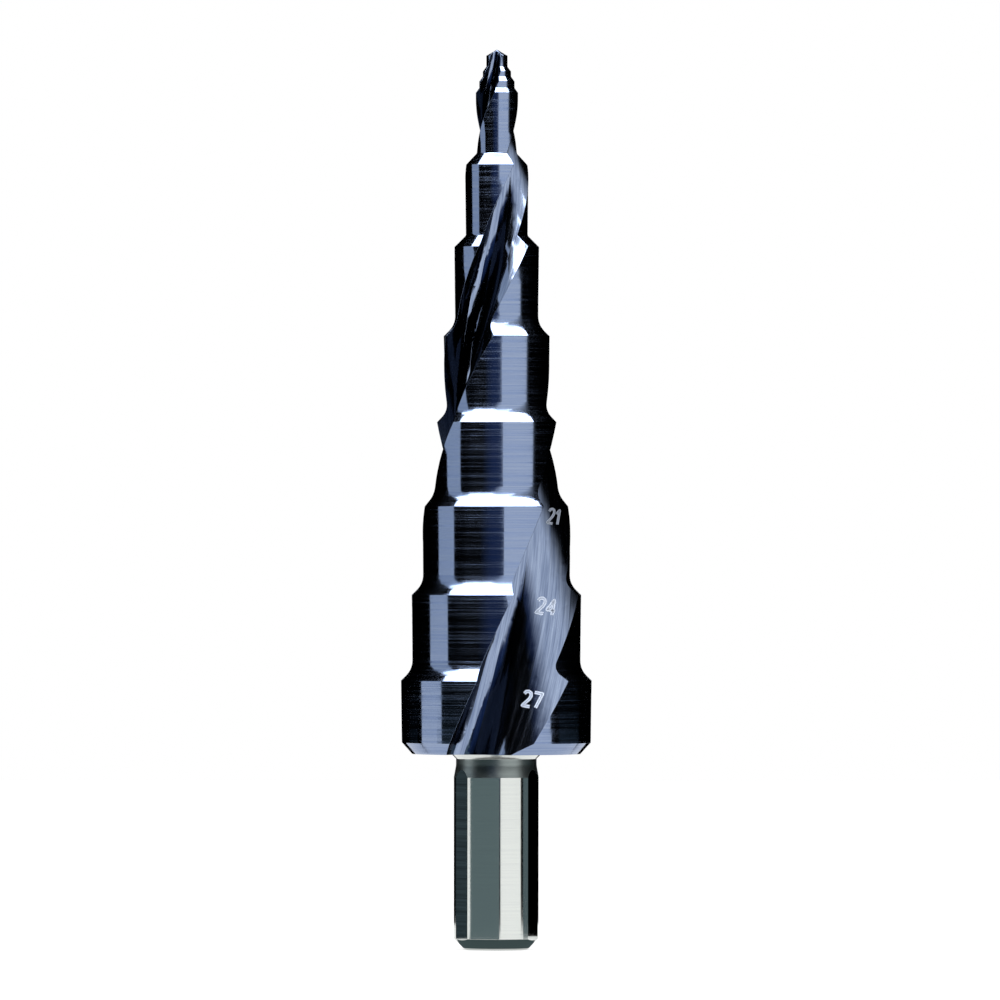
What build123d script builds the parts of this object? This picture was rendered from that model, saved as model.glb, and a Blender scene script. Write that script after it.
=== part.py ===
from build123d import *
import os
from math import cos, degrees, exp, log, radians, sin, tan

# Step drill with two helical flutes, ground from one bar. Millimetres.
# The drill stands on the flat end of its shank, at the origin, with its axis
# along +Z and its point on top. Angles round the axis are measured in degrees
# from the front (-Y) towards the right (+X).

# Shank
shank_diameter = 12.0
shank_length = 24.4
shank_end_bevel = 1.6
shank_flat_count = 3
shank_flat_half_angle = 14.6
shank_flat_turn = 63.0
neck_diameter = 11.4
neck_length = 3.3
neck_blend_length = 1.7
neck_blend_radius = 2.0
neck_root_bevel = 0.7

# Cutting steps, from the widest one up: diameter, then length from one rim to the next
step_diameters = (27.0, 24.0, 21.0, 18.0, 15.0, 12.0, 9.0)
step_lengths = (12.1, 12.5, 11.9, 12.2, 12.6, 11.6, 10.2)
widest_step_height = 10.4
back_taper = 0.12
step_cone_angle = 45.0
wide_cone_foot_radius = 2.8
narrow_cone_foot_radius = 0.4
last_wide_foot_diameter = 12.0
base_bevel_width = 1.45
base_bevel_height = 1.6

# Pilot steps, and the point that starts the hole
pilot_diameters = (6.0, 5.0, 4.0)
pilot_lengths = (1.6, 1.4, 2.25)
pilot_cone_angle = 36.0
point_diameter = 3.0
point_angle = 120.0

# Flutes, which widen with the steps. Each one is cut by the same section, turned on a helix
flute_count = 2
flute_helix_angle = 23.2
flute_rake_angle = 24.0
flute_edge_turn = -11.7
core_diameter = 15.8
core_growth = 1.47
root_radii = (2.6, 2.75, 2.9, 3.05)
root_radius_growth = 0.6
heel_radii = (10.2, 10.6, 11.2)
heel_turns = (22.0, 22.0, 68.0)
heel_radius_growth = 0.9
sections_per_flute = 27
sections_per_pilot = 6
cutter_overrun = 1.2

# Heights along the axis
body_base = shank_length + neck_length
widest_rim = body_base + widest_step_height
rim_heights = [widest_rim + sum(step_lengths[:index]) for index in range(len(step_lengths) + 1)]
pilot_rim = rim_heights.pop()
pilot_heights = [pilot_rim + sum(pilot_lengths[:index]) for index in range(len(pilot_lengths) + 1)]
shoulder_height = pilot_heights.pop()
point_height = shoulder_height + point_diameter / 2 / tan(radians(point_angle / 2))

widest_radius = step_diameters[0] / 2
pilot_radius = pilot_diameters[0] / 2
envelope_slope = (widest_radius - pilot_radius) / (pilot_rim - widest_rim)
helix_slope = tan(radians(flute_helix_angle))
flute_join_angle = sum(heel_turns) - 90
root_turn = (90 + flute_rake_angle + flute_join_angle) / len(root_radii)


def add_step(corners: list, radius: float, rim: float, cone_angle: float, foot_radius: float):
    """Add the foot of the cone above the last rim, then the rim of the next step."""
    last_radius, last_rim = corners[-1][0]
    foot = radius - (back_taper if foot_radius else 0)
    rise = (last_radius - foot) / tan(radians(cone_angle))
    corners.append(((foot, last_rim + rise), foot_radius))
    corners.append(((radius, rim), 0))


def body_corners() -> list:
    """Corners of half of the drill's outline, each with the radius of its rounding."""
    shank_radius = shank_diameter / 2
    neck_radius = neck_diameter / 2
    base_radius = widest_radius - back_taper
    corners = [
        ((0, 0), 0),
        ((shank_radius - shank_end_bevel, 0), 0),
        ((shank_radius, shank_end_bevel), 0),
        ((shank_radius, shank_length), 0),
        ((neck_radius, shank_length + neck_blend_length), neck_blend_radius),
        ((neck_radius, body_base - neck_root_bevel), 0),
        ((neck_radius + neck_root_bevel, body_base), 0),
        ((base_radius - base_bevel_width, body_base), 0),
        ((base_radius, body_base + base_bevel_height), 0),
        ((widest_radius, widest_rim), 0),
    ]
    for diameter, rim in zip(step_diameters[1:], rim_heights[1:]):
        wide = diameter >= last_wide_foot_diameter
        foot_radius = wide_cone_foot_radius if wide else narrow_cone_foot_radius
        add_step(corners, diameter / 2, rim, step_cone_angle, foot_radius)
    add_step(corners, pilot_radius, pilot_rim, step_cone_angle, narrow_cone_foot_radius)
    for diameter, rim in zip(pilot_diameters[1:], pilot_heights[1:]):
        add_step(corners, diameter / 2, rim, pilot_cone_angle, 0)
    add_step(corners, point_diameter / 2, shoulder_height, pilot_cone_angle, 0)
    corners.append(((0, point_height), 0))
    return corners


def envelope_radius(height: float) -> float:
    """Radius of the smooth cone that touches the rims of the steps."""
    if height <= pilot_rim:
        return widest_radius - envelope_slope * (height - widest_rim)
    shrink = (pilot_radius - point_diameter / 2) / (shoulder_height - pilot_rim)
    return pilot_radius - shrink * (min(height, shoulder_height) - pilot_rim)


def edge_turn(height: float) -> float:
    """Angle of the cutting edge round the axis, on a helix of constant angle."""
    radius = envelope_radius(min(height, pilot_rim))
    turn = degrees(helix_slope / envelope_slope * log(widest_radius / radius))
    turn += degrees(helix_slope / pilot_radius * max(0, height - pilot_rim))
    return flute_edge_turn + turn


def flute_section(height: float, flute_turn: float) -> Plane:
    """Plane across the axis whose x axis points outwards through the cutting edge."""
    turn = radians(edge_turn(height) + flute_turn)
    return Plane(origin=(0, 0, height), x_dir=(sin(turn), -cos(turn), 0), z_dir=(0, 0, 1))


def flute_curve(reach: float) -> tuple:
    """Start of the flute's hollow root on the rake face, and the radii of its root and heel."""
    wide_reach = max(reach, pilot_radius)
    share = wide_reach / widest_radius
    shrink = reach / wide_reach
    rake = radians(flute_rake_angle)
    join = radians(flute_join_angle)
    root = [radius * share**root_radius_growth * shrink for radius in root_radii]
    heel = [radius * share**heel_radius_growth * shrink for radius in heel_radii]
    root_size = sum(root) / len(root)
    core = core_diameter / 2 * share**core_growth * shrink
    root_centre = core - heel[0] * (1 - cos(join)) + root_size * cos(join)
    along_rake = (reach - root_centre - root_size * sin(rake)) / cos(rake)
    root_start = (reach - along_rake * cos(rake), -along_rake * sin(rake))
    return root_start, root, heel


def flute_heights() -> list[float]:
    """Heights of the flute's sections, at equal turns of the helix."""
    start = envelope_radius(body_base - cutter_overrun)
    shares = [index / sections_per_flute for index in range(sections_per_flute)]
    radii = [start * exp(share * log(pilot_radius / start)) for share in shares]
    heights = [widest_rim + (widest_radius - radius) / envelope_slope for radius in radii]
    rise = (point_height + cutter_overrun - pilot_rim) / sections_per_pilot
    return heights + [pilot_rim + rise * index for index in range(sections_per_pilot + 1)]


with BuildPart() as step_drill:
    with BuildSketch(Plane.XZ) as half_outline:
        with BuildLine():
            points, roundings = zip(*body_corners())
            outline = FilletPolyline(*points, radius=roundings[1:-1])
            Line(outline @ 1, outline @ 0)
        make_face()
    revolve(axis=Axis.Z)

    # Flats that keep the shank from turning in the chuck
    flat_distance = shank_diameter / 2 * cos(radians(shank_flat_half_angle))
    with BuildSketch(Plane.XY) as flats:
        for index in range(shank_flat_count):
            turn = shank_flat_turn + 360 / shank_flat_count * index
            with Locations(Plane.XY.rotated((0, 0, turn - 90)).location):
                with Locations((flat_distance, 0)):
                    Rectangle(shank_diameter, shank_diameter, align=(Align.MIN, Align.CENTER))
    extrude(amount=shank_length + neck_blend_length, mode=Mode.SUBTRACT)

    # Flutes: rake face, hollow root that opens towards the floor, and rounded heel
    for flute in range(flute_count):
        for height in flute_heights():
            reach = envelope_radius(height)
            root_start, root, heel = flute_curve(reach)
            with BuildSketch(flute_section(height, 360 / flute_count * flute)):
                with BuildLine():
                    rake_slope = tan(radians(flute_rake_angle))
                    wall = Line((reach * 1.4, reach * 0.4 * rake_slope), root_start)
                    curve = wall
                    for radius in root:
                        curve = JernArc(curve @ 1, curve % 1, radius, -root_turn)
                    for radius, turn in zip(heel, heel_turns):
                        curve = JernArc(curve @ 1, curve % 1, radius, turn)
                    Polyline(curve @ 1, (curve @ 1) + (0, reach * 0.4), (reach * 1.4, reach * 1.6), wall @ 0)
                make_face()
        loft(mode=Mode.SUBTRACT)

step_drill.part.label = "step_drill"

os.makedirs("parts", exist_ok=True)
export_step(step_drill.part, "parts/step_drill.step")
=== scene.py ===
"""Looks of a step drill: ground and coated cutting part, bare steel shank, size marks and a white studio."""

import logging
from dataclasses import dataclass
from enum import Enum
from math import atan2, cos, degrees, e, hypot, pi, radians, sin, tan
from typing import ClassVar

import bpy
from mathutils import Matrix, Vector
from mathutils.bvhtree import BVHTree


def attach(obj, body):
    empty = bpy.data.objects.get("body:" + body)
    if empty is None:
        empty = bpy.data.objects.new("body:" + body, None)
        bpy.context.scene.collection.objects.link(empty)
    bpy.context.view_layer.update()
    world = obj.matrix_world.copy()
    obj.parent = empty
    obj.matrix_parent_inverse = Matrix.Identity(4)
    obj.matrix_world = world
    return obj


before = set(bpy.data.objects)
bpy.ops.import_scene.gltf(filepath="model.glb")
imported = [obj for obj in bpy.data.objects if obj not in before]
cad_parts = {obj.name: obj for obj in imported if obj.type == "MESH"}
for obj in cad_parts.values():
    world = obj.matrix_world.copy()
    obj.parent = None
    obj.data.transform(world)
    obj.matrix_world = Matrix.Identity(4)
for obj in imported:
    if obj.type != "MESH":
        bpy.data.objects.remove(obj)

LOG = logging.getLogger("step_drill")
MM = 0.001
CAD_NODE = "step_drill"
BODY = "root"
Colour = tuple[float, float, float]
Point = tuple[float, float]
Socket = bpy.types.NodeSocket


class Zone(Enum):
    """Zones of the drill, each with a finish of its own."""

    LAND = 0
    FLUTE = 1
    SHANK = 2
    NECK = 3
    FLAT = 4


class NodeSheet:
    """Small helper that adds and links shader nodes in one tree."""

    # Sockets of the Mix node that a mix of colours uses
    MIX_FACTOR = 0
    MIX_COLOURS = (6, 7)
    MIX_RESULT = 2

    def __init__(self, tree: bpy.types.NodeTree) -> None:
        """Keep the tree that the nodes go into."""
        self.tree = tree

    def fill(self, socket: Socket, value: object) -> None:
        """Link a socket to an input, or set the input to a plain value.

        Args:
            socket: The input.
            value: A socket, or a value of the input's own kind.
        """
        if isinstance(value, bpy.types.NodeSocket):
            self.tree.links.new(value, socket)
        else:
            socket.default_value = value

    def add(self, kind: str, inputs: dict | None = None, **settings: object) -> bpy.types.Node:
        """Add one node.

        Args:
            kind: The node's type name, without its ShaderNode start.
            inputs: Values or sockets for the node's inputs, by name or number.
            settings: Properties of the node itself.

        Returns:
            The new node.
        """
        node = self.tree.nodes.new("ShaderNode" + kind)
        for name, value in settings.items():
            setattr(node, name, value)
        for name, value in (inputs or {}).items():
            self.fill(node.inputs[name], value)
        return node

    def math(self, operation: str, *values: object) -> Socket:
        """Add a Math node.

        Args:
            operation: The node's operation, such as MULTIPLY.
            values: Numbers or sockets, in the order of the inputs.

        Returns:
            The node's output socket.
        """
        return self.add("Math", dict(enumerate(values)), operation=operation).outputs[0]

    def scaled(self, vector: Socket, scale: object) -> Socket:
        """Multiply a vector by a number.

        Args:
            vector: The vector's socket.
            scale: A number or a socket.

        Returns:
            The scaled vector's socket.
        """
        return self.add("VectorMath", {0: vector, "Scale": scale}, operation="SCALE").outputs[0]

    def remap(self, value: Socket, low: float = 0.0, high: float = 1.0,
              new_low: float = 0.0, new_high: float = 1.0) -> Socket:
        """Map a value from one range to another, and keep it inside the new one.

        Args:
            value: The value's socket.
            low: Start of the first range.
            high: End of the first range.
            new_low: Start of the new range.
            new_high: End of the new range.

        Returns:
            The new value's socket.
        """
        return self.add("MapRange", dict(enumerate((value, low, high, new_low, new_high)))).outputs[0]

    def blend(self, factor: object, first: object, second: object) -> Socket:
        """Mix two colours.

        Args:
            factor: Share of the second colour, a number or a socket.
            first: First colour or socket.
            second: Second colour or socket.

        Returns:
            The mixed colour's socket.
        """
        node = self.add("Mix", data_type="RGBA")
        self.fill(node.inputs[self.MIX_FACTOR], factor)
        for index, colour in zip(self.MIX_COLOURS, (first, second)):
            self.fill(node.inputs[index], (*colour, 1.0) if isinstance(colour, tuple) else colour)
        return node.outputs[self.MIX_RESULT]

    def show(self, shader: bpy.types.Node, output: str = "OutputMaterial") -> None:
        """Send a shader to a new output node."""
        self.tree.links.new(shader.outputs[0], self.add(output).inputs[0])


def blank_material(name: str) -> tuple[bpy.types.Material, NodeSheet]:
    """Make a material without nodes.

    Args:
        name: The material's name.

    Returns:
        The material, and the sheet that its nodes go on.
    """
    made = bpy.data.materials.new(name)
    made.use_nodes = True
    made.node_tree.nodes.clear()
    return made, NodeSheet(made.node_tree)


def add_object(name: str, data: bpy.types.ID) -> bpy.types.Object:
    """Make an object and put it into the scene.

    Args:
        name: The object's name.
        data: Its mesh, lamp or camera.

    Returns:
        The new object.
    """
    made = bpy.data.objects.new(name, data)
    bpy.context.scene.collection.objects.link(made)
    return made


@dataclass(frozen=True)
class GrindLines:
    """Fine parallel lines that a grinding wheel leaves, as one shared node group."""

    name: str = "grind_lines"
    fine_detail: float = 2.0
    coarse_detail: float = 3.0
    noise_roughness: float = 0.65
    scratch_from: float = 0.45
    scratch_full: float = 0.66

    def group(self) -> bpy.types.NodeTree:
        """Make the group once, and return it each time.

        Returns:
            The node group: Lines is a mix of fine and coarse lines, Scratches marks the few deep ones.
        """
        if self.name in bpy.data.node_groups:
            return bpy.data.node_groups[self.name]
        tree = bpy.data.node_groups.new(self.name, "ShaderNodeTree")
        face = tree.interface
        face.new_socket("Coordinate", in_out="INPUT", socket_type="NodeSocketVector")
        for label, value in (("Fine Density", 6.0), ("Coarse Density", 1.5), ("Coarse Share", 0.45)):
            face.new_socket(label, in_out="INPUT", socket_type="NodeSocketFloat").default_value = value
        for label in ("Lines", "Scratches"):
            face.new_socket(label, in_out="OUTPUT", socket_type="NodeSocketFloat")
        sheet = NodeSheet(tree)
        given = tree.nodes.new("NodeGroupInput").outputs
        result = tree.nodes.new("NodeGroupOutput").inputs
        layers = []
        for label, detail in (("Fine Density", self.fine_detail), ("Coarse Density", self.coarse_detail)):
            place = sheet.scaled(given["Coordinate"], given[label])
            noise = sheet.add("TexNoise", {"Vector": place, "Scale": 1.0, "Detail": detail,
                                           "Roughness": self.noise_roughness})
            layers.append(noise.outputs[0])
        coarse = sheet.math("MULTIPLY", layers[1], given["Coarse Share"])
        fine_share = sheet.math("SUBTRACT", 1.0, given["Coarse Share"])
        fine = sheet.math("MULTIPLY", layers[0], fine_share)
        lines = sheet.math("ADD", fine, coarse)
        sheet.fill(result["Lines"], lines)
        sheet.fill(result["Scratches"], sheet.remap(lines, self.scratch_from, self.scratch_full))
        return tree


@dataclass(frozen=True)
class FluteHelix:
    """Cone and helix that the flutes are cut along, in millimetres and degrees."""

    widest_radius: float = 13.5
    widest_rim: float = 38.1
    pilot_radius: float = 3.0
    pilot_rim: float = 121.2
    helix_angle: float = 23.2

    @property
    def slope(self) -> float:
        """Narrowing of the cone that touches the rims, in radius for each unit of height."""
        return (self.widest_radius - self.pilot_radius) / (self.pilot_rim - self.widest_rim)

    @property
    def rate(self) -> float:
        """Way round the drill for each unit of height."""
        return tan(radians(self.helix_angle))

    def turn(self, sheet: NodeSheet, height: Socket) -> tuple[Socket, Socket]:
        """Add the nodes that follow the flute up the drill.

        Args:
            sheet: The tree that the nodes go into.
            height: Height above the shank's end.

        Returns:
            How far the flute has turned there, in radians, and how many times the cone's radius
            there goes into the widest one.
        """
        rise = sheet.math("SUBTRACT", sheet.math("MINIMUM", height, self.pilot_rim), self.widest_rim)
        cone = sheet.math("SUBTRACT", self.widest_radius, sheet.math("MULTIPLY", rise, self.slope))
        ratio = sheet.math("DIVIDE", self.widest_radius, cone)
        cone_turn = sheet.math("MULTIPLY", sheet.math("LOGARITHM", ratio, e), self.rate / self.slope)
        above = sheet.math("MAXIMUM", sheet.math("SUBTRACT", height, self.pilot_rim), 0.0)
        pilot_turn = sheet.math("MULTIPLY", above, self.rate / self.pilot_radius)
        return sheet.math("ADD", cone_turn, pilot_turn), ratio


@dataclass(frozen=True)
class DrillPlaces:
    """Cylindrical and helical coordinates on the drill, as one shared node group, in millimetres."""

    helix: FluteHelix = FluteHelix()
    rims: tuple[float, ...] = (38.1, 50.2, 62.7, 74.6, 86.8, 99.4, 111.0, 121.2)
    wear_length: float = 5.5
    rim_width: float = 0.05
    wear_from: float = 0.01
    top: float = 127.3
    round_stretch: float = 0.08
    flute_stretch: float = 0.03
    name: str = "drill_places"

    def ring(self, sheet: NodeSheet, angle: Socket, radius: object, height: Socket) -> Socket:
        """Add the nodes that turn cylindrical coordinates into a place.

        Args:
            sheet: The tree that the nodes go into.
            angle: Angle round the axis, in radians.
            radius: Distance from the axis, a number or a socket.
            height: Height along the axis.

        Returns:
            The place's socket.
        """
        across = sheet.math("MULTIPLY", sheet.math("SINE", angle), radius)
        away = sheet.math("MULTIPLY", sheet.math("COSINE", angle), radius)
        return sheet.add("CombineXYZ", {0: across, 1: away, 2: height}).outputs[0]

    def wear(self, sheet: NodeSheet, height: Socket) -> Socket:
        """Add the ramp of the rims' wear.

        Args:
            sheet: The tree that the nodes go into.
            height: Height along the axis.

        Returns:
            A tone that grows from 0 to 1 below each rim.
        """
        ramp = sheet.add("ValToRGB", {0: sheet.math("DIVIDE", height, self.top)})
        ramp.color_ramp.elements[1].position = self.wear_from
        ramp.color_ramp.elements[1].color = (0, 0, 0, 1)
        for rim in self.rims:
            for level, tone in ((rim - self.wear_length, 0.0), (rim, 1.0), (rim + self.rim_width, 0.0)):
                ramp.color_ramp.elements.new(level / self.top).color = (tone, tone, tone, 1)
        return ramp.outputs[0]

    def group(self) -> bpy.types.NodeTree:
        """Make the group once, and return it each time.

        Returns:
            The node group, with outputs Around, Along Flute and Rim Wear.
        """
        if self.name in bpy.data.node_groups:
            return bpy.data.node_groups[self.name]
        tree = bpy.data.node_groups.new(self.name, "ShaderNodeTree")
        for label in ("Around", "Along Flute"):
            tree.interface.new_socket(label, in_out="OUTPUT", socket_type="NodeSocketVector")
        tree.interface.new_socket("Rim Wear", in_out="OUTPUT", socket_type="NodeSocketFloat")
        sheet = NodeSheet(tree)
        result = tree.nodes.new("NodeGroupOutput").inputs
        place = sheet.scaled(sheet.add("TexCoord").outputs["Object"], 1 / MM)
        x, y, z = sheet.add("SeparateXYZ", {0: place}).outputs
        squares = sheet.math("ADD", sheet.math("MULTIPLY", x, x), sheet.math("MULTIPLY", y, y))
        angle = sheet.math("ARCTAN2", x, sheet.math("MULTIPLY", y, -1.0))
        turn, ratio = self.helix.turn(sheet, z)
        from_flute = sheet.math("SUBTRACT", angle, turn)
        reach = sheet.math("MULTIPLY", sheet.math("SQRT", squares), ratio)
        low = sheet.math("MULTIPLY", z, self.flute_stretch)
        sheet.fill(result["Around"], self.ring(sheet, angle, self.round_stretch, z))
        sheet.fill(result["Along Flute"], self.ring(sheet, from_flute, reach, low))
        sheet.fill(result["Rim Wear"], self.wear(sheet, z))
        return tree


@dataclass(frozen=True)
class GroundSteel:
    """Finish of a ground steel face, bare or coated, with lines round the axis or along the flute.

    Line depth and edge radius are in millimetres. Where other steel mirrors the face, its colour is
    dimmed to the share second_bounce. Scratches far from a rim keep the share plain_share.
    """

    name: str
    colour: Colour
    streak: Colour
    roughness: float
    scratch_roughness: float
    line_depth: float
    fine_density: float
    coarse_density: float
    anisotropy: float
    along_flute: bool = False
    edge_radius: float = 0.06
    second_bounce: float = 0.1
    plain_share: float = 1.0

    STREAK_FROM: ClassVar[float] = 0.36
    STREAK_FULL: ClassVar[float] = 0.64
    FIRST_BOUNCE: ClassVar[float] = 0.5
    QUARTER_TURN: ClassVar[float] = 0.25
    EDGE_SAMPLES: ClassVar[int] = 8

    def material(self) -> bpy.types.Material:
        """Build the material.

        Returns:
            The new material.
        """
        made, sheet = blank_material(self.name)
        places = sheet.add("Group", node_tree=DrillPlaces().group()).outputs
        coordinate = places["Along Flute" if self.along_flute else "Around"]
        marks = sheet.add("Group", {"Coordinate": coordinate, "Fine Density": self.fine_density,
                                    "Coarse Density": self.coarse_density},
                          node_tree=GrindLines().group()).outputs
        share = sheet.remap(marks["Lines"], self.STREAK_FROM, self.STREAK_FULL)
        colour = sheet.blend(share, self.colour, self.streak)
        bounces = sheet.add("LightPath").outputs["Glossy Depth"]
        mirrored = sheet.math("GREATER_THAN", bounces, self.FIRST_BOUNCE)
        dimmed = tuple(part * self.second_bounce for part in self.colour)
        colour = sheet.blend(mirrored, colour, dimmed)
        edge = sheet.add("Bevel", {"Radius": self.edge_radius * MM}, samples=self.EDGE_SAMPLES)
        bump = sheet.add("Bump", {"Height": marks["Lines"], "Distance": self.line_depth * MM,
                                  "Strength": 1.0, "Normal": edge.outputs[0]})
        worn = sheet.remap(places["Rim Wear"], new_low=self.plain_share)
        scratched = sheet.math("MULTIPLY", marks["Scratches"], worn)
        rough = sheet.remap(scratched, new_low=self.roughness, new_high=self.scratch_roughness)
        tangent = sheet.add("Tangent", direction_type="RADIAL", axis="Z")
        sheet.show(sheet.add("BsdfPrincipled", {
            "Base Color": colour, "Metallic": 1.0, "Roughness": rough, "Normal": bump.outputs[0],
            "Anisotropic": self.anisotropy, "Tangent": tangent.outputs[0],
            "Anisotropic Rotation": 0.0 if self.along_flute else self.QUARTER_TURN}))
        return made


@dataclass
class CuttingPart:
    """The drill itself: its one steel body, dressed zone by zone.

    Sizes are in millimetres. The limits say how far the normals of a flat or a land may turn.
    """

    shank_top: float = 27.75
    shank_reach: float = 6.6
    neck_foot: float = 24.3
    neck_top: float = 27.05
    upright_limit: float = 0.1
    flat_limit: float = 0.999
    land_limit: float = 0.06

    def finishes(self) -> dict[Zone, GroundSteel]:
        """Finishes of the zones.

        Returns:
            One finish for each zone.
        """
        return {
            Zone.LAND: GroundSteel(
                "coated_land", colour=(0.31, 0.38, 0.53), streak=(0.20, 0.272, 0.456),
                roughness=0.09, scratch_roughness=0.32, line_depth=0.002,
                fine_density=8.0, coarse_density=3.0, anisotropy=0.95, plain_share=0.72),
            Zone.FLUTE: GroundSteel(
                "coated_flute", colour=(0.17, 0.225, 0.36), streak=(0.36, 0.44, 0.61),
                roughness=0.08, scratch_roughness=0.14, line_depth=0.0006,
                fine_density=3.6, coarse_density=1.3, anisotropy=0.5, along_flute=True),
            Zone.SHANK: GroundSteel(
                "bare_shank", colour=(0.75, 0.78, 0.75), streak=(0.71, 0.74, 0.72),
                roughness=0.09, scratch_roughness=0.12, line_depth=0.0002,
                fine_density=9.0, coarse_density=3.0, anisotropy=0.3),
            Zone.NECK: GroundSteel(
                "turned_neck", colour=(0.36, 0.41, 0.40), streak=(0.28, 0.325, 0.32),
                roughness=0.34, scratch_roughness=0.42, line_depth=0.003,
                fine_density=5.0, coarse_density=1.6, anisotropy=0.0),
            Zone.FLAT: GroundSteel(
                "ground_flat", colour=(0.36, 0.38, 0.37), streak=(0.84, 0.87, 0.85),
                roughness=0.03, scratch_roughness=0.05, line_depth=0.0002,
                fine_density=6.0, coarse_density=2.2, anisotropy=0.3),
        }

    def faces(self, mesh: bpy.types.Mesh) -> list[list[bpy.types.MeshPolygon]]:
        """Sort the mesh's polygons by the CAD face that they belong to.

        Args:
            mesh: The body's mesh, whose CAD faces share no points.

        Returns:
            One list of polygons for each CAD face.
        """
        leader = list(range(len(mesh.vertices)))

        def top(index: int) -> int:
            """Find the point that stands for all points of a face.

            Args:
                index: Any point of the face.

            Returns:
                The index of the point that stands for it.
            """
            while leader[index] != index:
                leader[index] = leader[leader[index]]
                index = leader[index]
            return index

        for polygon in mesh.polygons:
            first = top(polygon.vertices[0])
            for vertex in polygon.vertices[1:]:
                leader[top(vertex)] = first
        groups: dict[int, list[bpy.types.MeshPolygon]] = {}
        for polygon in mesh.polygons:
            groups.setdefault(top(polygon.vertices[0]), []).append(polygon)
        return list(groups.values())

    def shank_zone(self, face: list[bpy.types.MeshPolygon]) -> Zone:
        """Choose the zone of a CAD face of shank or neck.

        Args:
            face: The polygons of one CAD face.

        Returns:
            The zone that it belongs to.
        """
        if all(self.neck_foot * MM < p.center.z < self.neck_top * MM for p in face):
            return Zone.NECK
        first = face[0].normal
        plane = all(p.normal.dot(first) > self.flat_limit for p in face)
        return Zone.FLAT if plane and abs(first.z) < self.upright_limit else Zone.SHANK

    def zone(self, face: list[bpy.types.MeshPolygon]) -> Zone:
        """Choose a CAD face's zone from its place and from how it is turned.

        Args:
            face: The polygons of one CAD face.

        Returns:
            The zone that it belongs to. The normals of lands and cones hardly turn sideways.
        """
        if all(p.center.z < self.shank_top * MM and hypot(p.center.x, p.center.y) < self.shank_reach * MM
               for p in face):
            return self.shank_zone(face)
        sideways = 0.0
        for polygon in face:
            outward = Vector((polygon.center.x, polygon.center.y, 0)).normalized()
            turn = polygon.normal.x * outward.y - polygon.normal.y * outward.x
            sideways += abs(turn) * polygon.area
        return Zone.LAND if sideways < self.land_limit * sum(p.area for p in face) else Zone.FLUTE

    def dress(self) -> bpy.types.Object:
        """Give each face of the CAD body its finish.

        Returns:
            The dressed object.
        """
        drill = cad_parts[CAD_NODE]
        mesh = drill.data
        mesh.materials.clear()
        for finish in self.finishes().values():
            mesh.materials.append(finish.material())
        counts = {zone: 0 for zone in Zone}
        for face in self.faces(mesh):
            zone = self.zone(face)
            counts[zone] += 1
            for polygon in face:
                polygon.material_index = zone.value
        LOG.info("%s dressed: %s", CAD_NODE, {zone.name: count for zone, count in counts.items()})
        return drill


@dataclass(frozen=True)
class SizeMark:
    """One engraved number, placed as the camera sees it, in millimetres.

    The place is the left end of the foot line, and the size is the digits' height. Tone dims
    the colours as painted shade, for a number that lies in a darker part of the drill.
    """

    text: str
    across: float
    height: float
    size: float
    width_share: float = 1.0
    # Painted shade: the share that the number's colours are dimmed to
    tone: float = 1.0


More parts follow.
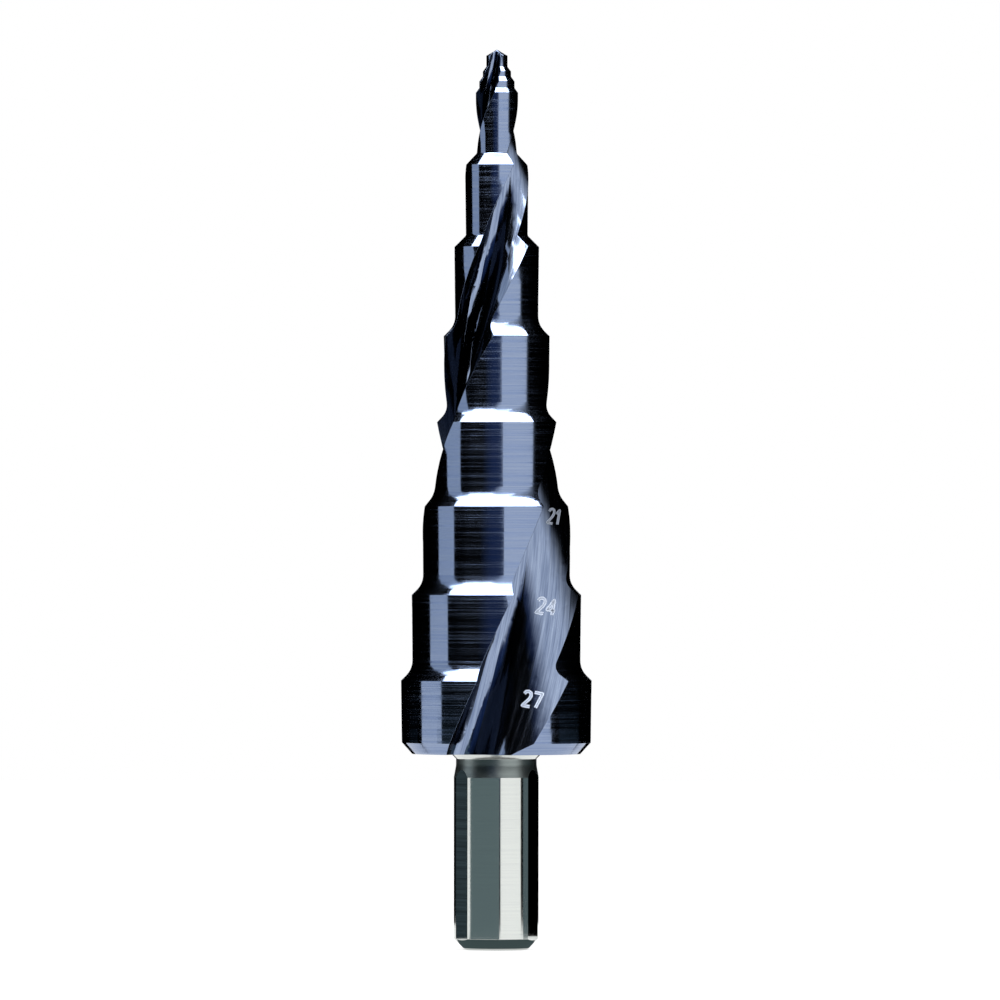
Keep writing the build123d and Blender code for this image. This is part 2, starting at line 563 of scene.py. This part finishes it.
@dataclass
class SizeMarks:
    """The numbers beside the three widest steps, as thin engraved strokes on the flute's heel.

    Tilt is in degrees. Stroke width, lift and spacing are in millimetres. The advance from digit to
    digit and the glyphs are shares of the digits' height. Rays to the surface start at RAY_START, in
    metres.
    """

    drill: bpy.types.Object
    tilt: float = -10.0
    stroke_width: float = 0.46
    advance: float = 0.68
    lift: float = 0.02
    spacing: float = 0.08
    roughness: float = 0.55
    metallic: float = 0.2
    edge_colour: Colour = (0.66, 0.74, 0.90)
    middle_colour: Colour = (0.33, 0.40, 0.54)

    STRIP_SIDES: ClassVar[tuple[float, ...]] = (-0.5, -0.12, 0.12, 0.5)
    RAY_START: ClassVar[float] = -0.1
    GLYPHS: ClassVar[dict[str, tuple[tuple[Point, ...], ...]]] = {
        "1": (((0.02, 0.70), (0.26, 1.0), (0.26, 0.0)),),
        "2": (((0.02, 0.80), (0.12, 0.96), (0.28, 1.0), (0.44, 0.93), (0.48, 0.72), (0.38, 0.48),
               (0.0, 0.0), (0.50, 0.0)),),
        "4": (((0.38, 0.0), (0.38, 1.0), (0.0, 0.30), (0.54, 0.30)),),
        "7": (((0.0, 1.0), (0.54, 1.0), (0.22, 0.0)),),
    }

    def marks(self) -> list[SizeMark]:
        """Numbers on the drill.

        Returns:
            The three numbers, from the widest step up.
        """
        return [
            SizeMark("27", across=3.64, height=34.7, size=2.1),
            SizeMark("24", across=5.57, height=47.75, size=2.15),
            # The 21 lies in a darker part of the drill: tone 0.55 is painted shade on its colours
            SizeMark("21", across=7.14, height=60.4, size=2.05, width_share=0.76, tone=0.55),
        ]

    def finish(self, name: str, colour: Colour) -> bpy.types.Material:
        """Build the finish of the engraved strokes.

        Args:
            name: The material's name.
            colour: The colour that the laser left.

        Returns:
            The new material.
        """
        made = bpy.data.materials.new(name)
        made.use_nodes = True
        shader = made.node_tree.nodes["Principled BSDF"]
        shader.inputs["Base Color"].default_value = (*colour, 1.0)
        shader.inputs["Roughness"].default_value = self.roughness
        shader.inputs["Metallic"].default_value = self.metallic
        return made

    def spine(self, points: list[Point]) -> list[Point]:
        """Fill a stroke's corners in with evenly spaced points.

        Args:
            points: Corners of the stroke.

        Returns:
            Points along the stroke.
        """
        filled = [points[0]]
        for (x0, y0), (x1, y1) in zip(points, points[1:]):
            count = max(1, round(hypot(x1 - x0, y1 - y0) / self.spacing))
            filled += [(x0 + (x1 - x0) * i / count, y0 + (y1 - y0) * i / count)
                       for i in range(1, count + 1)]
        return filled

    def placed(self, mark: SizeMark, place: int, glyph: tuple[Point, ...]) -> list[Point]:
        """Turn one stroke of a digit from shares of the digits' height into millimetres.

        Args:
            mark: The number.
            place: The digit's place in it, from 0.
            glyph: Corners of the stroke.

        Returns:
            The stroke's corners, across and up as the camera sees them.
        """
        turn_x, turn_z = cos(radians(self.tilt)), sin(radians(self.tilt))
        points = []
        for x, y in glyph:
            x = (x + place * self.advance) * mark.width_share * mark.size
            y = y * mark.size
            points.append((mark.across + x * turn_x - y * turn_z, mark.height + x * turn_z + y * turn_x))
        return points

    def stroke(self, points: list[Point], width: float,
               surface: BVHTree) -> tuple[list[Vector], list[tuple[int, ...]]]:
        """Lay one stroke on the surface as three strips side by side.

        Args:
            points: Corners of the stroke, across and up, in millimetres.
            width: Width of the stroke, in millimetres.
            surface: The drill's surface.

        Returns:
            Points in metres and faces; the middle one of each three faces is darker.
        """
        spine = self.spine(points)
        verts, faces = [], []
        offsets = [share * width for share in self.STRIP_SIDES]
        row = len(offsets)
        for index, (x, z) in enumerate(spine):
            before, after = spine[max(0, index - 1)], spine[min(len(spine) - 1, index + 1)]
            along = Vector((after[0] - before[0], after[1] - before[1])).normalized()
            for offset in offsets:
                start = Vector(((x - along.y * offset) * MM, self.RAY_START, (z + along.x * offset) * MM))
                place, normal, _, _ = surface.ray_cast(start, Vector((0, 1, 0)))
                if place is None:
                    return [], []
                verts.append(place + normal * self.lift * MM)
            if index:
                first = (index - 1) * row
                faces += [(first + k, first + k + 1, first + row + k + 1, first + row + k)
                          for k in range(row - 1)]
        return verts, faces

    def lay(self, mark: SizeMark, surface: BVHTree) -> bpy.types.Mesh:
        """Make the mesh of one number.

        Args:
            mark: The number.
            surface: The drill's surface.

        Returns:
            The mesh, with pale edges and a darker middle along each stroke.
        """
        verts, faces = [], []
        for place, digit in enumerate(mark.text):
            for glyph in self.GLYPHS[digit]:
                points = self.placed(mark, place, glyph)
                more, strips = self.stroke(points, self.stroke_width * mark.width_share, surface)
                faces += [tuple(len(verts) + index for index in strip) for strip in strips]
                verts += more
        made = bpy.data.meshes.new(f"size_mark_{mark.text}")
        made.from_pydata(verts, [], faces)
        for part, colour in (("edge", self.edge_colour), ("middle", self.middle_colour)):
            # mark.tone dims the stroke colours as painted shade
            shade = tuple(value * mark.tone for value in colour)
            made.materials.append(self.finish(f"mark_{mark.text}_{part}", shade))
        for polygon in made.polygons:
            polygon.material_index = 1 if polygon.index % (len(self.STRIP_SIDES) - 1) == 1 else 0
        return made

    def build(self) -> None:
        """Make one thin piece for each number."""
        world = self.drill.matrix_world
        mesh = self.drill.data
        surface = BVHTree.FromPolygons([world @ v.co for v in mesh.vertices],
                                       [p.vertices for p in mesh.polygons])
        for mark in self.marks():
            made = self.lay(mark, surface)
            piece = add_object(made.name, made)
            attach(piece, BODY)
            LOG.info("%s laid on the heel: %d faces", piece.name, len(made.polygons))


@dataclass(frozen=True)
class SoftBox:
    """One studio light, placed round the drill by its angles, in degrees, and its distance, in metres.

    Azimuths run from the camera towards the right. A mirrored box is seen only in reflections, and
    lights nothing else. The other ones are seen in none.
    """

    name: str
    azimuth: float
    elevation: float
    distance: float
    width: float
    height: float
    radiance: float
    mirrored: bool = False

    def place(self, target: Vector) -> bpy.types.Object:
        """Make the light and turn it towards the drill.

        Args:
            target: The point that the light faces.

        Returns:
            The light object.
        """
        lamp = bpy.data.lights.new(self.name, "AREA")
        lamp.shape = "RECTANGLE"
        lamp.size, lamp.size_y = self.width, self.height
        lamp.energy = self.radiance * pi * self.width * self.height
        holder = add_object(self.name, lamp)
        around, up = radians(self.azimuth), radians(self.elevation)
        away = Vector((sin(around) * cos(up), -cos(around) * cos(up), sin(up)))
        holder.location = target + away * self.distance
        holder.rotation_mode = "QUATERNION"
        holder.rotation_quaternion = away.to_track_quat("Z", "Y")
        holder.visible_camera = False
        holder.visible_glossy = self.mirrored
        holder.visible_diffuse = not self.mirrored
        LOG.info("light %s placed", holder.name)
        return holder


@dataclass(frozen=True)
class Card:
    """One curved studio card that the steel mirrors, in millimetres and degrees.

    It runs from start to end, which are azimuths from the camera towards the right. With floor_from
    it also covers the floor between that distance and its foot. Above its foot the tone can change to
    end_tone on the way, fade to white towards its top, and fade to white towards its end, more so
    higher up. Each degree of rise takes lean degrees off the end's azimuth.
    """

    name: str
    start: float
    end: float
    radius: float
    foot: float
    top: float
    tone: Colour = (0.0, 0.0, 0.0)
    end_tone: Colour | None = None
    fade: float = 0.0
    soft_side: float = 0.0
    lean: float = 0.0
    floor_from: float = 0.0

    STEP: ClassVar[float] = 4.0
    ROWS: ClassVar[int] = 14
    SOFT_RISE: ClassVar[float] = 35.0
    CHANGE_FROM: ClassVar[float] = 0.55
    CHANGE_LENGTH: ClassVar[float] = 0.22

    def outline(self) -> list[Point]:
        """Side view of the card.

        Returns:
            Distances from the axis and heights, in millimetres.
        """
        side = [(self.floor_from, self.foot)] if self.floor_from else []
        if self.top > self.foot:
            rise = self.top - self.foot
            return side + [(self.radius, self.foot + rise * row / self.ROWS) for row in range(self.ROWS + 1)]
        return side + [(self.radius, self.foot)]

    def shade(self, share: float, height: float, rise: float) -> tuple[float, ...]:
        """Tone of one point of the card.

        Args:
            share: Place between the card's start, 0, and its end, 1.
            height: Height of the point, in millimetres.
            rise: Angle of the point above the drill's middle, in degrees.

        Returns:
            The tone, which turns white towards a faded top and a soft side.
        """
        white = max(0.0, (height - self.top + self.fade) / self.fade) if self.fade else 0.0
        soft = self.soft_side * rise / self.SOFT_RISE
        if soft:
            white = max(white, (share - 1.0) / soft + 1.0)
        white = min(1.0, white)
        change = min(1.0, max(0.0, (share - self.CHANGE_FROM) / self.CHANGE_LENGTH))
        last_tone = self.end_tone if self.end_tone and height > self.foot else self.tone
        tones = [first + (last - first) * change for first, last in zip(self.tone, last_tone)]
        return (*(tone * (1 - white) + white for tone in tones), 1.0)

    def mesh(self, centre: float) -> bpy.types.Mesh:
        """Make the card's mesh, with its tones.

        Args:
            centre: Height that the rise is measured from, in millimetres.

        Returns:
            The mesh, in metres.
        """
        side = self.outline()
        count = max(1, round(abs(self.end - self.start) / self.STEP))
        points, faces, tones = [], [], []
        for index in range(count + 1):
            for away, height in side:
                rise = max(0.0, degrees(atan2(height - centre, away)))
                turn = radians(self.start + (self.end - self.lean * rise - self.start) * index / count)
                points.append(Vector((sin(turn) * away, -cos(turn) * away, height)) * MM)
                tones.extend(self.shade(index / count, height, rise))
        for index in range(count):
            for row in range(len(side) - 1):
                first = index * len(side) + row
                faces.append((first, first + len(side), first + len(side) + 1, first + 1))
        mesh = bpy.data.meshes.new(self.name)
        mesh.from_pydata(points, [], faces)
        mesh.color_attributes.new("tone", "FLOAT_COLOR", "POINT").data.foreach_set("color", tones)
        return mesh

    def build(self, centre: float) -> bpy.types.Object:
        """Make the card, which is seen only in reflections.

        Args:
            centre: Height that the rise is measured from, in millimetres.

        Returns:
            The card object.
        """
        made, sheet = blank_material(self.name)
        tone = sheet.add("Attribute", attribute_name="tone").outputs["Color"]
        sheet.show(sheet.add("Emission", {"Color": tone}))
        mesh = self.mesh(centre)
        mesh.materials.append(made)
        card = add_object(self.name, mesh)
        card.visible_camera = card.visible_diffuse = False
        card.visible_shadow = card.visible_transmission = False
        LOG.info("%s stands from %.0f to %.0f degrees", card.name, self.start, self.end)
        return card


@dataclass
class Studio:
    """White room with a pale floor, dark cards, soft light and the camera of the photograph.

    The centre's height, the frame's and the sensor's width and the side shift are in millimetres. The
    camera's distance, the depth of its view and half the floor's side are in metres. The roll is in
    degrees.
    """

    centre_height: float = 63.6
    camera_distance: float = 2.0
    sensor_width: float = 36.0
    view_depth: float = 20.0
    frame_width: float = 141.44
    side_shift: float = 0.49
    roll: float = -0.055
    ambient: float = 0.3
    floor_half: float = 1.2
    floor_grey: float = 0.5
    floor_glow: float = 0.78
    mirrored_floor_glow: float = 0.6

    def boxes(self) -> list[SoftBox]:
        """Lights round the drill.

        Returns:
            The boxes that the steel mirrors, then the lamps that light everything else.
        """
        return [
            SoftBox("top_box", azimuth=0.0, elevation=90.0, distance=1.5, width=2.95, height=2.95,
                    radiance=4.0, mirrored=True),
            SoftBox("left_box", azimuth=-35.0, elevation=55.0, distance=1.3, width=0.95, height=0.6,
                    radiance=4.0, mirrored=True),
            SoftBox("right_box", azimuth=100.0, elevation=52.0, distance=1.3, width=0.9, height=0.5,
                    radiance=3.0, mirrored=True),
            SoftBox("top_fill", azimuth=0.0, elevation=80.0, distance=1.5, width=1.6, height=1.4,
                    radiance=2.2),
            SoftBox("front_fill", azimuth=40.0, elevation=35.0, distance=1.6, width=1.0, height=1.0,
                    radiance=1.0),
        ]

    def cards(self) -> list[Card]:
        """Cards round the drill. Between them the steel mirrors the white room.

        Returns:
            Wall cards for the cutting part, then low cards for the shank.
        """
        wall = {"radius": 450.0, "foot": 1.0}
        low = {"radius": 60.0, "foot": 0.5, "top": 26.5}
        return [
            Card("front_card", start=-69.5, end=11.5, top=420.0, end_tone=(0.022, 0.042, 0.105),
                 fade=26.0, soft_side=0.34, lean=0.1, floor_from=62.0, **wall),
            Card("right_card", start=172.0, end=70.0, top=700.0, soft_side=0.31, lean=0.8,
                 floor_from=90.0, **wall),
            Card("left_card", start=188.0, end=258.0, top=700.0, floor_from=90.0, **wall),
            Card("left_gap_card", start=-102.0, end=-69.5, radius=455.0, foot=29.0, top=500.0,
                 tone=(0.60, 0.65, 0.71)),
            Card("low_front_card", start=-69.5, end=8.0, tone=(0.118, 0.163, 0.175),
                 floor_from=22.0, **low),
            Card("low_right_card", start=75.0, end=110.0, tone=(0.092, 0.128, 0.142),
                 floor_from=40.0, **low),
            Card("low_left_card", start=239.0, end=258.0, tone=(0.035, 0.052, 0.062),
                 floor_from=40.0, **low),
            Card("low_flat_card", start=114.0, end=134.0, radius=92.0, foot=0.5, top=3.0,
                 floor_from=51.0),
            # Painted shadow: a dark disc under the shank's end, seen only in reflections, stands in for the
            # contact shadow that the end bevel mirrors
            Card("painted_contact_shadow_card", start=0.0, end=360.0, radius=6.6, foot=0.25, top=0.25,
                 tone=(0.06, 0.085, 0.09), floor_from=0.5),
        ]

    @staticmethod
    def mirror_like(sheet: NodeSheet) -> Socket:
        """Tell rays that show a thing directly from rays that only light it.

        Args:
            sheet: The tree that the nodes go into.

        Returns:
            A socket that is 1 for camera, glossy and transmission rays.
        """
        path = sheet.add("LightPath").outputs
        seen = sheet.math("MAXIMUM", path["Is Camera Ray"], path["Is Glossy Ray"])
        return sheet.math("MAXIMUM", seen, path["Is Transmission Ray"])

    def lights(self) -> None:
        """Set up the white room, which is dimmer for rays that only light a thing, and the lamps."""
        world = bpy.data.worlds.new("studio_world")
        bpy.context.scene.world = world
        world.use_nodes = True
        world.node_tree.nodes.clear()
        sheet = NodeSheet(world.node_tree)
        strength = sheet.remap(self.mirror_like(sheet), new_low=self.ambient)
        background = sheet.add("Background", {"Color": (1, 1, 1, 1), "Strength": strength})
        sheet.show(background, "OutputWorld")
        target = Vector((0, 0, self.centre_height * MM))
        for box in self.boxes():
            box.place(target)

    def floor(self) -> bpy.types.Object:
        """Make the pale floor, which glows for rays that show it and keeps the drill's shadow.

        Returns:
            The floor object.
        """
        half = self.floor_half
        outline = [(-half, -half, 0), (half, -half, 0), (half, half, 0), (-half, half, 0)]
        mesh = bpy.data.meshes.new("floor")
        mesh.from_pydata(outline, [], [(0, 1, 2, 3)])
        made, sheet = blank_material("white_floor")
        plain = sheet.add("BsdfDiffuse", {"Color": (self.floor_grey, self.floor_grey, self.floor_grey, 1)})
        direct = sheet.add("LightPath").outputs["Is Camera Ray"]
        strength = sheet.remap(direct, new_low=self.mirrored_floor_glow, new_high=self.floor_glow)
        glow = sheet.add("Emission", {"Color": (1, 1, 1, 1), "Strength": strength})
        none = sheet.add("Emission", {"Strength": 0.0})
        lit = sheet.add("MixShader", {0: self.mirror_like(sheet), 1: none.outputs[0], 2: glow.outputs[0]})
        sheet.show(sheet.add("AddShader", {0: plain.outputs[0], 1: lit.outputs[0]}))
        mesh.materials.append(made)
        ground = add_object("floor", mesh)
        LOG.info("%s laid, %.1f m wide", ground.name, 2 * half)
        return ground

    def camera(self) -> bpy.types.Object:
        """Make the photograph's camera.

        Returns:
            The camera object.
        """
        eye = bpy.data.cameras.new("camera")
        eye.sensor_width = self.sensor_width
        eye.lens = eye.sensor_width * self.camera_distance / (self.frame_width * MM)
        eye.clip_end = self.view_depth
        holder = add_object("camera", eye)
        holder.location = (self.side_shift * MM, -self.camera_distance, self.centre_height * MM)
        holder.rotation_euler = (radians(90), radians(self.roll), 0)
        bpy.context.scene.camera = holder
        return holder

    def build(self) -> None:
        """Build floor, cards, lights and camera, and set the plain view transform."""
        self.floor()
        for card in self.cards():
            card.build(self.centre_height)
        self.lights()
        self.camera()
        bpy.context.scene.view_settings.view_transform = "Standard"


def main() -> None:
    """Build every part of the scene in order."""
    logging.basicConfig(level=logging.INFO, format="%(name)s: %(message)s")
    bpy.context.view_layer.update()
    drill = CuttingPart().dress()
    SizeMarks(drill).build()
    Studio().build()


if __name__ == "__main__":
    main()
